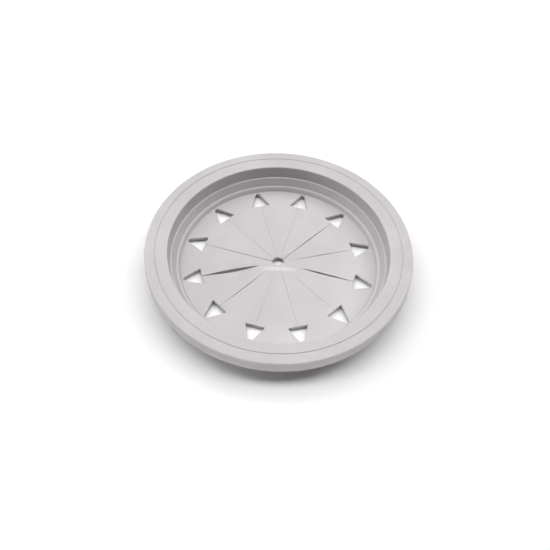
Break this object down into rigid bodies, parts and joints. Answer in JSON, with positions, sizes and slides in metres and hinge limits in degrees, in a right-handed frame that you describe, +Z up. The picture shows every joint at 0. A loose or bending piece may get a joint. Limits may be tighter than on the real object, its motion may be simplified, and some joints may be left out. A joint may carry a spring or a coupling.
{
  "type": "sink drain splash cover",
  "caption": "Round rubber cover that plugs into a kitchen sink drain, with a stepped cup and a floor slit into wedge flaps with triangular drain holes.",
  "frame": {"origin": "centre of the foot's flat underside, on the cover's axis", "axes": "+Z up along the cover's axis, from the foot to the flange; +X through the middle of flap_01"},
  "size_m": [0.1472, 0.1472, 0.018],
  "materials": {
    "grey_rubber": "matte, finely textured moulded rubber"
  },
  "bodies": {
    "rim": {"flange_ring": "grey_rubber", "cup_wall": "grey_rubber", "floor_web": "grey_rubber"},
    "flap_01": {"flap_01": "grey_rubber"},
    "flap_02": {"flap_02": "grey_rubber"},
    "flap_03": {"flap_03": "grey_rubber"},
    "flap_04": {"flap_04": "grey_rubber"},
    "flap_05": {"flap_05": "grey_rubber"},
    "flap_06": {"flap_06": "grey_rubber"},
    "flap_07": {"flap_07": "grey_rubber"},
    "flap_08": {"flap_08": "grey_rubber"},
    "flap_09": {"flap_09": "grey_rubber"},
    "flap_10": {"flap_10": "grey_rubber"},
    "flap_11": {"flap_11": "grey_rubber"},
    "flap_12": {"flap_12": "grey_rubber"}
  },
  "joints": [
    {"name": "bend_01", "type": "hinge", "parent": "rim", "child": "flap_01", "pos_m": [0.045, 0, 0.0022], "axis": [0, -1, 0], "range_deg": [-40, 75], "stiffness_Nm_per_rad": 0.02},
    {"name": "bend_02", "type": "hinge", "parent": "rim", "child": "flap_02", "pos_m": [0.03897, 0.0225, 0.0022], "axis": [0.5, -0.866, 0], "range_deg": [-40, 75], "stiffness_Nm_per_rad": 0.02},
    {"name": "bend_03", "type": "hinge", "parent": "rim", "child": "flap_03", "pos_m": [0.0225, 0.03897, 0.0022], "axis": [0.866, -0.5, 0], "range_deg": [-40, 75], "stiffness_Nm_per_rad": 0.02},
    {"name": "bend_04", "type": "hinge", "parent": "rim", "child": "flap_04", "pos_m": [0, 0.045, 0.0022], "axis": [1, 0, 0], "range_deg": [-40, 75], "stiffness_Nm_per_rad": 0.02},
    {"name": "bend_05", "type": "hinge", "parent": "rim", "child": "flap_05", "pos_m": [-0.0225, 0.03897, 0.0022], "axis": [0.866, 0.5, 0], "range_deg": [-40, 75], "stiffness_Nm_per_rad": 0.02},
    {"name": "bend_06", "type": "hinge", "parent": "rim", "child": "flap_06", "pos_m": [-0.03897, 0.0225, 0.0022], "axis": [0.5, 0.866, 0], "range_deg": [-40, 75], "stiffness_Nm_per_rad": 0.02},
    {"name": "bend_07", "type": "hinge", "parent": "rim", "child": "flap_07", "pos_m": [-0.045, 0, 0.0022], "axis": [0, 1, 0], "range_deg": [-40, 75], "stiffness_Nm_per_rad": 0.02},
    {"name": "bend_08", "type": "hinge", "parent": "rim", "child": "flap_08", "pos_m": [-0.03897, -0.0225, 0.0022], "axis": [-0.5, 0.866, 0], "range_deg": [-40, 75], "stiffness_Nm_per_rad": 0.02},
    {"name": "bend_09", "type": "hinge", "parent": "rim", "child": "flap_09", "pos_m": [-0.0225, -0.03897, 0.0022], "axis": [-0.866, 0.5, 0], "range_deg": [-40, 75], "stiffness_Nm_per_rad": 0.02},
    {"name": "bend_10", "type": "hinge", "parent": "rim", "child": "flap_10", "pos_m": [0, -0.045, 0.0022], "axis": [-1, 0, 0], "range_deg": [-40, 75], "stiffness_Nm_per_rad": 0.02},
    {"name": "bend_11", "type": "hinge", "parent": "rim", "child": "flap_11", "pos_m": [0.0225, -0.03897, 0.0022], "axis": [-0.866, -0.5, 0], "range_deg": [-40, 75], "stiffness_Nm_per_rad": 0.02},
    {"name": "bend_12", "type": "hinge", "parent": "rim", "child": "flap_12", "pos_m": [0.03897, -0.0225, 0.0022], "axis": [-0.5, -0.866, 0], "range_deg": [-40, 75], "stiffness_Nm_per_rad": 0.02}
  ]
}
